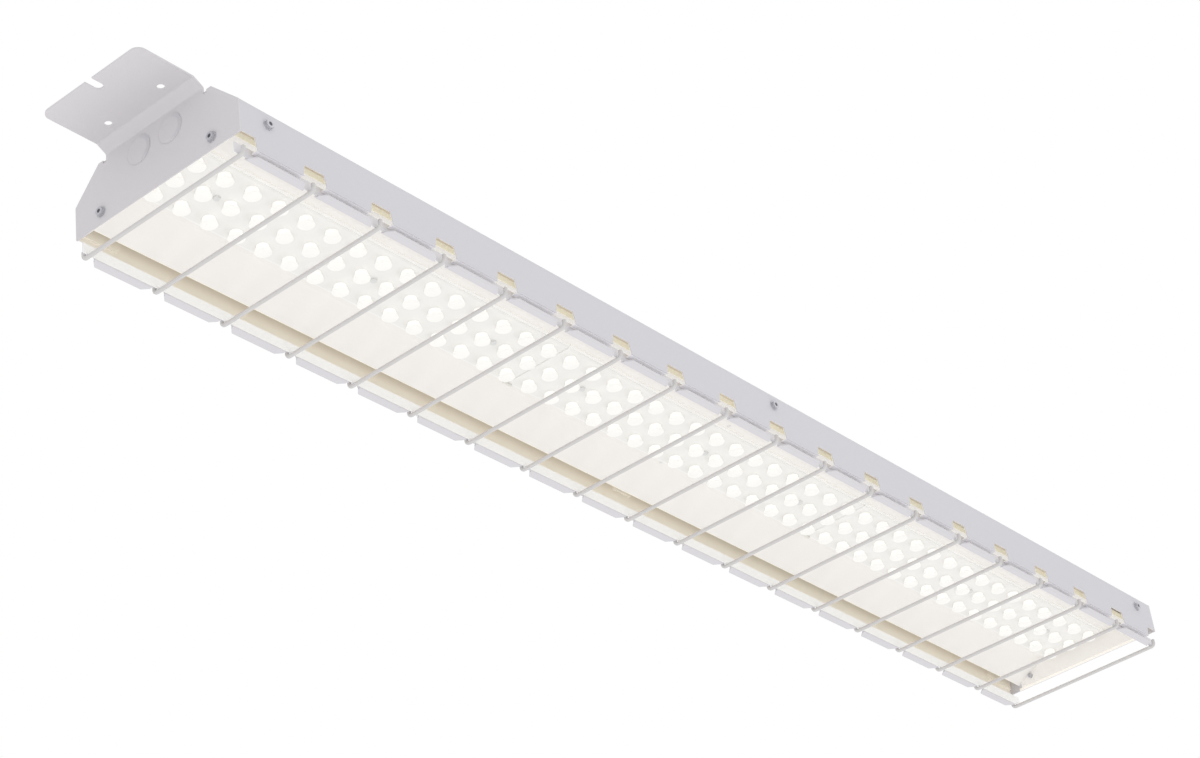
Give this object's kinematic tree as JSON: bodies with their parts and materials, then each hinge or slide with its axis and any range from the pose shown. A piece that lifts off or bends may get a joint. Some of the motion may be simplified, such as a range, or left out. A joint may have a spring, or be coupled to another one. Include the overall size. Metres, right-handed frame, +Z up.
{
  "type": "LED high bay light",
  "caption": "Long white linear LED high bay light with rows of lens squares and a clip-on cross-wire guard below, hung by a slotted tab at each end.",
  "frame": {"origin": "centre of the footprint, on the underside of the guard wires", "axes": "+X along the light, +Y across it, +Z up from the lit side to the top of the housing"},
  "size_m": [1.2664, 0.1662, 0.0774],
  "materials": {
    "body_paint": "satin powder coat",
    "tray_paint": "matte reflector white",
    "guard_paint": "satin powder coat",
    "guard_wire_paint": "satin powder coat",
    "galvanised_steel": "galvanised",
    "board": "white solder mask",
    "lens_plastic": "frosted, lit",
    "connector_plastic": "moulded",
    "screw_steel": "black oxide",
    "small_screw_steel": "zinc plated",
    "driver_case": "white enamel",
    "terminal_plastic": "moulded",
    "lead_jacket": "matte jacket"
  },
  "bodies": {
    "root": {"housing_body": "body_paint", "end_plate_left": "body_paint", "end_plate_right": "body_paint", "led_tray": "tray_paint", "centre_brace": "galvanised_steel", "led_board_1": "board", "led_board_2": "board", "led_board_3": "board", "lens_array_1": "lens_plastic", "lens_array_2": "lens_plastic", "lens_array_3": "lens_plastic", "board_connectors": "connector_plastic", "guard_rail_near": "guard_paint", "guard_rail_far": "guard_paint", "end_plate_screws": "screw_steel", "side_screws": "screw_steel", "board_screws": "small_screw_steel", "brace_screws": "small_screw_steel", "driver_screws": "small_screw_steel", "led_driver": "driver_case", "terminal_block": "terminal_plastic", "input_leads": "lead_jacket", "output_leads": "lead_jacket", "guard_wire_01": "guard_wire_paint", "guard_wire_02": "guard_wire_paint", "guard_wire_03": "guard_wire_paint", "guard_wire_04": "guard_wire_paint", "guard_wire_05": "guard_wire_paint", "guard_wire_06": "guard_wire_paint", "guard_wire_07": "guard_wire_paint", "guard_wire_08": "guard_wire_paint", "guard_wire_09": "guard_wire_paint", "guard_wire_10": "guard_wire_paint", "guard_wire_11": "guard_wire_paint", "guard_wire_12": "guard_wire_paint", "guard_wire_13": "guard_wire_paint", "guard_wire_14": "guard_wire_paint", "guard_wire_15": "guard_wire_paint", "guard_wire_16": "guard_wire_paint", "guard_wire_17": "guard_wire_paint", "guard_wire_18": "guard_wire_paint", "guard_wire_19": "guard_wire_paint"}
  },
  "joints": []
}
